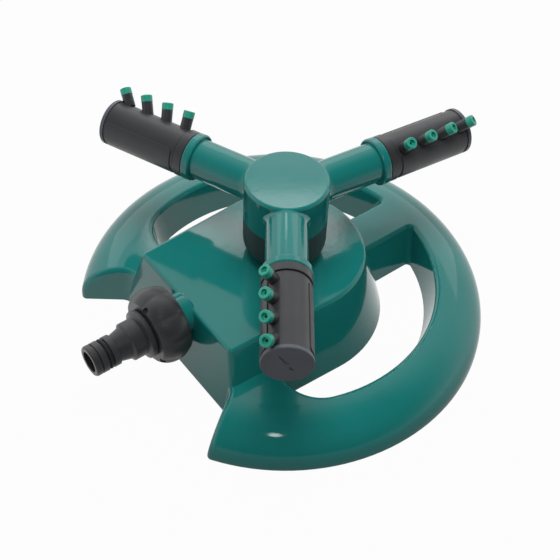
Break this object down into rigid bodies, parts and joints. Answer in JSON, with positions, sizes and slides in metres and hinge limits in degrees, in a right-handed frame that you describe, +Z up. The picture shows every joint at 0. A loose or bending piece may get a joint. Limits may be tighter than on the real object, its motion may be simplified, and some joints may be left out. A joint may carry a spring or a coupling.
{
  "type": "lawn sprinkler",
  "caption": "Rotating lawn sprinkler: arms with turnable nozzle heads on a hub that spins on a ring-shaped base with a quick-connect hose inlet.",
  "frame": {"origin": "on the rotor's turning axis, at the plane the base stands on", "axes": "+Z up along the rotor's axis, -Y out along the hose inlet"},
  "size_m": [0.217, 0.2254, 0.0978],
  "materials": {
    "green_plastic": "glossy teal-green moulded plastic",
    "green_tip_plastic": "satin green moulded plastic",
    "black_plastic": "satin black moulded plastic",
    "white_plastic": "smooth natural plastic",
    "black_rubber": "matte rubber",
    "steel": "spring steel"
  },
  "bodies": {
    "base": {"base_shell": "green_plastic", "stem": "black_plastic", "stem_nut": "black_plastic", "stem_o_ring": "black_rubber", "hose_connector": "black_plastic", "connector_washer": "black_rubber", "connector_o_ring": "black_rubber"},
    "rotor": {"manifold": "green_plastic", "retaining_cap": "black_plastic", "hub_gasket": "black_rubber", "thrust_washer": "white_plastic", "seal_washer": "black_rubber", "lock_collar_1": "black_plastic", "lock_collar_2": "black_plastic", "lock_collar_3": "black_plastic"},
    "head_1": {"nozzle_head_1": "black_plastic", "end_cap_1": "black_plastic", "swivel_o_ring_1": "black_rubber", "head_clip_1": "steel", "nozzle_tip_1_1": "green_tip_plastic", "nozzle_tip_1_2": "green_tip_plastic", "nozzle_tip_1_3": "green_tip_plastic", "nozzle_tip_1_4": "green_tip_plastic"},
    "head_2": {"nozzle_head_2": "black_plastic", "end_cap_2": "black_plastic", "swivel_o_ring_2": "black_rubber", "head_clip_2": "steel", "nozzle_tip_2_1": "green_tip_plastic", "nozzle_tip_2_2": "green_tip_plastic", "nozzle_tip_2_3": "green_tip_plastic", "nozzle_tip_2_4": "green_tip_plastic"},
    "head_3": {"nozzle_head_3": "black_plastic", "end_cap_3": "black_plastic", "swivel_o_ring_3": "black_rubber", "head_clip_3": "steel", "nozzle_tip_3_1": "green_tip_plastic", "nozzle_tip_3_2": "green_tip_plastic", "nozzle_tip_3_3": "green_tip_plastic", "nozzle_tip_3_4": "green_tip_plastic"}
  },
  "joints": [
    {"name": "rotor_spin", "type": "hinge", "parent": "base", "child": "rotor", "pos_m": [0, 0, 0.0793], "axis": [0, 0, 1], "continuous": true},
    {"name": "head_1_swivel", "type": "hinge", "parent": "rotor", "child": "head_1", "pos_m": [0.00737, 0.06005, 0.0793], "axis": [0.1219, 0.9925, 0], "range_deg": [-35, 55]},
    {"name": "head_2_swivel", "type": "hinge", "parent": "rotor", "child": "head_2", "pos_m": [-0.05569, -0.02364, 0.0793], "axis": [-0.9205, -0.3907, 0], "range_deg": [-42, 48]},
    {"name": "head_3_swivel", "type": "hinge", "parent": "rotor", "child": "head_3", "pos_m": [0.04832, -0.03641, 0.0793], "axis": [0.7986, -0.6018, 0], "range_deg": [-32.5, 57.5]}
  ]
}
